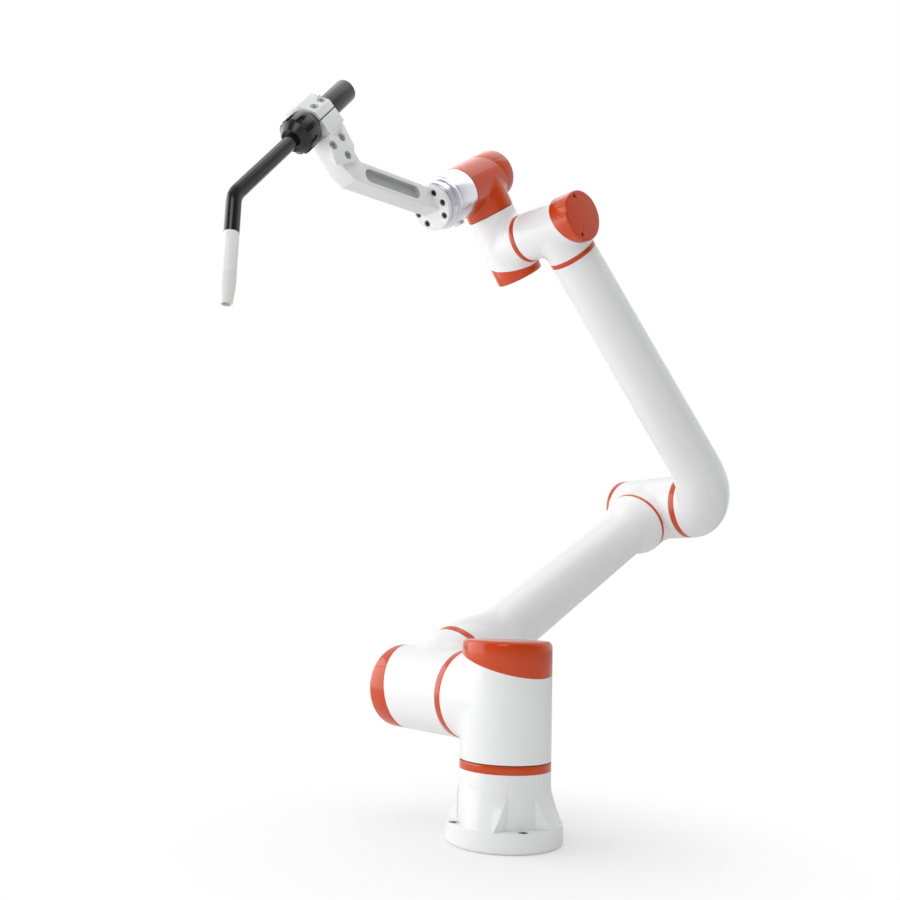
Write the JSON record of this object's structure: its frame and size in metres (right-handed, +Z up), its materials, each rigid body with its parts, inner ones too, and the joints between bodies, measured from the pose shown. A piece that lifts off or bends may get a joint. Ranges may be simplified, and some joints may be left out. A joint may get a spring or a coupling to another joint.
{
  "type": "six-axis industrial robot arm with a welding torch",
  "caption": "Floor-mounted articulated robot arm of round white housings with orange caps, folded at shoulder and elbow, carrying a bracketed arc welding torch.",
  "frame": {"origin": "centre of the underside of the base flange, where the base axis meets the floor", "axes": "+Z up along the base axis, +X forward in the plane in which the arm folds, so the torch points to +X, and the shoulder branches off towards -Y"},
  "size_m": [1.2542, 0.3805, 1.2829],
  "materials": {
    "arm_white": "gloss white paint on aluminium castings",
    "cap_orange": "gloss orange-red paint on thin cast caps",
    "ring_orange": "gloss orange-red ring",
    "joint_grey": "dark seal in the joint gap",
    "aluminium": "fine turned aluminium",
    "bracket_white": "satin white powder coat",
    "torch_black": "fine-grained black moulding",
    "neck_black": "satin black tube",
    "sleeve_grey": "pale insulating sleeve",
    "nozzle_metal": "plated nozzle",
    "tip_copper": "copper alloy"
  },
  "bodies": {
    "base": {"base_casting": "arm_white", "base_ring": "ring_orange", "base_output_disc": "joint_grey"},
    "shoulder": {"shoulder_housing": "arm_white", "shoulder_cap": "cap_orange", "shoulder_ring": "ring_orange", "shoulder_output_disc": "joint_grey"},
    "upper_arm": {"upper_joint_housing": "arm_white", "upper_joint_cap": "cap_orange", "upper_arm_lower_ring": "ring_orange", "upper_arm_tube": "arm_white", "upper_arm_upper_ring": "ring_orange", "elbow_housing": "arm_white", "elbow_cap": "cap_orange", "elbow_output_disc": "joint_grey"},
    "forearm": {"elbow_ring": "ring_orange", "forearm_tube": "arm_white", "forearm_ring": "ring_orange", "wrist_1_housing": "arm_white", "wrist_1_cap": "cap_orange", "wrist_1_output_disc": "joint_grey"},
    "wrist_2": {"wrist_2_ring": "ring_orange", "wrist_2_housing": "arm_white", "wrist_2_cap": "cap_orange", "wrist_2_output_disc": "joint_grey"},
    "wrist_3": {"wrist_3_housing": "cap_orange", "wrist_3_cap": "cap_orange", "wrist_3_output_disc": "joint_grey"},
    "tool": {"tool_flange": "aluminium", "bracket_plate": "bracket_white", "bracket_bar": "bracket_white", "clamp_foot": "bracket_white", "clamp_lower": "bracket_white", "clamp_upper": "bracket_white", "torch_body": "torch_black", "collet_nut": "torch_black", "torch_neck": "neck_black", "nozzle_sleeve": "sleeve_grey", "gas_nozzle": "nozzle_metal", "contact_tip": "tip_copper"}
  },
  "joints": [
    {"name": "base_turn", "type": "hinge", "parent": "base", "child": "shoulder", "pos_m": [0, 0, 0], "axis": [0, 0, 1], "range_deg": [-175, 175]},
    {"name": "shoulder_swing", "type": "hinge", "parent": "shoulder", "child": "upper_arm", "pos_m": [0, 0, 0.221], "axis": [0, 1, 0], "range_deg": [-116, 234]},
    {"name": "elbow_swing", "type": "hinge", "parent": "upper_arm", "child": "forearm", "pos_m": [-0.65145, -0.013, 0.61243], "axis": [0, 1, 0], "range_deg": [-261.6, 48.4]},
    {"name": "wrist_1_swing", "type": "hinge", "parent": "forearm", "child": "wrist_2", "pos_m": [-0.12124, -0.013, 1.09658], "axis": [0, 1, 0], "range_deg": [-165, 95]},
    {"name": "wrist_2_turn", "type": "hinge", "parent": "wrist_2", "child": "wrist_3", "pos_m": [-0.12124, -0.1505, 1.09658], "axis": [0.6225, 0, 0.7826], "range_deg": [-182, 168]},
    {"name": "tool_turn", "type": "hinge", "parent": "wrist_3", "child": "tool", "pos_m": [-0.03564, -0.1505, 1.20419], "axis": [0.7768, 0.1219, -0.6179], "range_deg": [-175, 175]}
  ]
}
